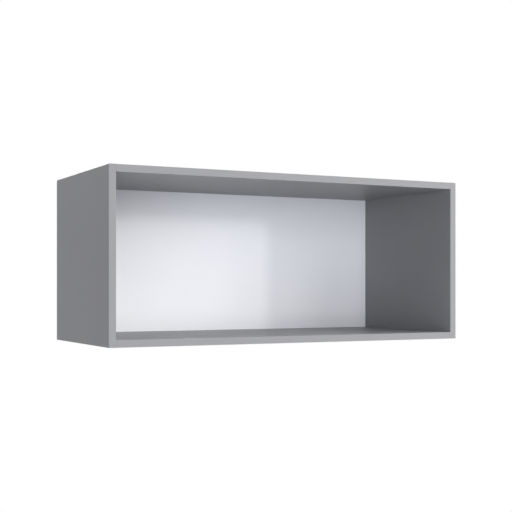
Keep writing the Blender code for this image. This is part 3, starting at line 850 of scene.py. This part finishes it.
def make_hanger_plates(finish):
    """Stamped plates with eased rims, a keyhole and two countersunk holes."""
    for side_name in SIDE_NAMES:
        node = f"hanger_plate_{side_name}"
        low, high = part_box(node)
        radius = (high.x - low.x) / 2
        top = high.z - low.z - radius
        thick = high.y - low.y
        rims = [(0, PLATE_RIM), (PLATE_RIM, 0), (thick - PLATE_RIM, 0), (thick, PLATE_RIM)]
        blank = lofted("hanger_plate_blank", [
            (height, stadium(radius - inset, radius, top)) for height, inset in rims
        ])
        beyond = [(-OVERRUN, PLATE_RIM)] + rims + [(thick + OVERRUN, PLATE_RIM)]
        keyhole = lofted("keyhole", [(height, keyhole_outline(inset)) for height, inset in beyond])
        cutters = [(keyhole, Matrix.Translation((0, KEYHOLE_HEIGHT, 0)))]
        for screw_name in PLATE_SCREW_NAMES:
            screw_low, screw_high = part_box(f"hanger_screw_{side_name}_{screw_name}")
            hole = countersink((screw_high.x - screw_low.x) / 2, thick)
            up = (screw_low.z + screw_high.z) / 2 - low.z
            cutters.append((hole, Matrix.Translation((0, up, 0))))
        mesh = carved("hanger_plate", blank, cutters)
        base = ((low.x + high.x) / 2, high.y, low.z)
        place = Matrix.Translation(base) @ Matrix.Rotation(QUARTER_TURN, 4, "X")
        put(node, mesh, place, "carcass", [finish])


def band_mesh(length, thickness):
    """A strip along Z, as wide as a board, whose face towards -Y has milled corners."""
    half = BOARD / 2
    face = BAND_RADIUS - thickness
    arc_at = half - BAND_RADIUS
    outline = [(half, 0), (-half, 0)]
    outline += arc((-arc_at, face), BAND_RADIUS, HALF_TURN, HALF_TURN + QUARTER_TURN, BAND_ARC_STEPS)
    outline += arc((arc_at, face), BAND_RADIUS, -QUARTER_TURN, 0, BAND_ARC_STEPS)
    return lofted("edge_band", [(-length / 2, outline), (length / 2, outline)])


def make_bands(plain, milled):
    """Edge bands whose milled corners have a finish of their own."""
    facings = {
        "front": Matrix.Identity(4),
        "lower": Matrix.Rotation(QUARTER_TURN, 4, "X"),
        "upper": Matrix.Rotation(-QUARTER_TURN, 4, "X"),
    }
    for node in [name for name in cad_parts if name.endswith("_band")]:
        low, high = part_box(node)
        size = high - low
        centre = (low + high) / 2
        turn = facings[node.split("_")[-2]]
        if "panel" in node:
            turn = turn @ Matrix.Rotation(QUARTER_TURN, 4, "Y")
        outward = turn @ Vector((0, -1, 0))
        thickness = abs(size.dot(outward))
        mesh = band_mesh(max(size), thickness)
        glued = centre - outward * thickness / 2
        place = Matrix.Translation(glued) @ turn
        piece = put(node, mesh, place, "carcass", [plain, milled])
        for face in piece.data.polygons:
            face.material_index = 1 if face.use_smooth else 0


def dress(node, finish):
    """Gives a CAD node whose shape is right its finish."""
    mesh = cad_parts[node].data
    mesh.materials.clear()
    mesh.materials.append(finish)


def dress_all():
    """Finishes the boards and the back, and makes the finer pieces that stand for all other nodes."""
    for node in ("left_side", "right_side", "top_panel", "bottom_panel"):
        dress(node, board_finish(node))
    dress("back_panel", back_finish())
    zinc = metal_finish("zinc_cam_finish", *ZINC)
    steel = metal_finish("steel_finish", *STEEL)
    plain = band_finish("edge_band_finish", BAND_GREY, BAND_RIPPLE)
    milled = band_finish("edge_band_milled_finish", BAND_MILLED_GREY, BAND_MILLED_RIPPLE)
    make_bands(plain, milled)
    make_cams(zinc)
    make_bolts_and_dowels(steel, beech_finish())
    make_nails(steel)
    make_hanger_screws(steel)
    make_hanger_plates(steel)


def make_camera():
    """The photograph's own view, level and with its axis off the frame's middle."""
    camera = bpy.data.objects.new("camera", bpy.data.cameras.new("camera"))
    bpy.context.scene.collection.objects.link(camera)
    camera.location = LOWEST + Vector(CAMERA_FROM_FRONT_CORNER)
    camera.rotation_euler = (QUARTER_TURN, 0, -CAMERA_TURN)
    camera.data.sensor_width = SENSOR_MM
    camera.data.lens = SENSOR_MM * FOCAL_PIXELS / FRAME_PIXELS
    camera.data.shift_x = 0.5 - AXIS_PIXEL[0] / FRAME_PIXELS
    camera.data.shift_y = AXIS_PIXEL[1] / FRAME_PIXELS - 0.5
    bpy.context.scene.camera = camera


def make_lamps():
    """Square lamps that face the cabinet's middle."""
    middle = (LOWEST + HIGHEST) / 2
    for name, (azimuth, elevation, distance, width, level) in LAMPS.items():
        light = bpy.data.lights.new(name, "AREA")
        light.size = width
        light.energy = level * (math.pi * distance) ** 2
        light.color = LAMP_TINTS.get(name, WHITE)
        lamp = bpy.data.objects.new(name, light)
        bpy.context.scene.collection.objects.link(lamp)
        around = Matrix.Rotation(math.radians(azimuth), 3, "Z")
        upwards = Matrix.Rotation(-math.radians(elevation), 3, "X")
        away = around @ upwards @ Vector((0, -1, 0))
        lamp.location = middle + away * distance
        lamp.rotation_euler = away.to_track_quat("Z", "Y").to_euler()
        lamp.visible_camera = False
        lamp.visible_glossy = name in MIRRORED_LAMPS


def seen_directly(nodes, links):
    """Is 1 for what the camera, a reflection or clear glass shows, and 0 for what lights matt surfaces."""
    path = nodes.new("ShaderNodeLightPath")
    seen = path.outputs["Is Camera Ray"]
    for name in ("Is Glossy Ray", "Is Transmission Ray"):
        either = nodes.new("ShaderNodeMath")
        either.operation = "MAXIMUM"
        links.new(seen, either.inputs[0])
        links.new(path.outputs[name], either.inputs[1])
        seen = either.outputs[0]
    return seen


def make_world():
    """Plain ambient light, with a white background."""
    world = bpy.data.worlds.new("studio")
    bpy.context.scene.world = world
    world.use_nodes = True
    nodes, links = world.node_tree.nodes, world.node_tree.links
    ambient = nodes["Background"]
    ambient.inputs["Color"].default_value = (*AMBIENT_TINT, 1)
    ambient.inputs["Strength"].default_value = AMBIENT
    white = nodes.new("ShaderNodeBackground")
    white.inputs["Color"].default_value = (*WHITE, 1)
    mix = nodes.new("ShaderNodeMixShader")
    links.new(seen_directly(nodes, links), mix.inputs[0])
    links.new(ambient.outputs[0], mix.inputs[1])
    links.new(white.outputs[0], mix.inputs[2])
    links.new(mix.outputs[0], nodes["World Output"].inputs["Surface"])


def make_floor():
    """A pale floor as far below the cabinet as a kitchen's, which fades into the white background."""
    bm = bmesh.new()
    bmesh.ops.create_circle(bm, cap_ends=True, segments=ROUND_SIDES, radius=FLOOR_RADIUS)
    mesh = mesh_from(bm, "floor")
    floor = bpy.data.objects.new("floor", mesh)
    bpy.context.scene.collection.objects.link(floor)
    floor.location = (0, 0, LOWEST.z - FLOOR_BELOW)
    finish = Finish("floor_finish")
    pale = finish.shaded(finish.noise(FLOOR_CLOUD), FLOOR_WHITE, FLOOR_SPREAD)
    finish.done(Base_Color=pale, Roughness=FLOOR_ROUGHNESS)
    links = finish.material.node_tree.links
    reach = finish.add("VectorMath", operation="LENGTH")
    finish.feed(reach.inputs[0], finish.place)
    fade = finish.between(reach.outputs["Value"], 0.0, 1.0, *FLOOR_FADE)
    white = finish.add("Emission")
    mix = finish.add("MixShader")
    finish.feed(mix.inputs[0], finish.maths("MULTIPLY", fade, seen_directly(finish.nodes, links)))
    finish.feed(mix.inputs[1], finish.shader.outputs[0])
    finish.feed(mix.inputs[2], white.outputs[0])
    links.new(mix.outputs[0], finish.nodes["Material Output"].inputs["Surface"])
    mesh.materials.append(finish.material)


make_camera()
make_lamps()
make_world()
make_floor()
dress_all()
bpy.context.scene.view_settings.view_transform = "Standard"
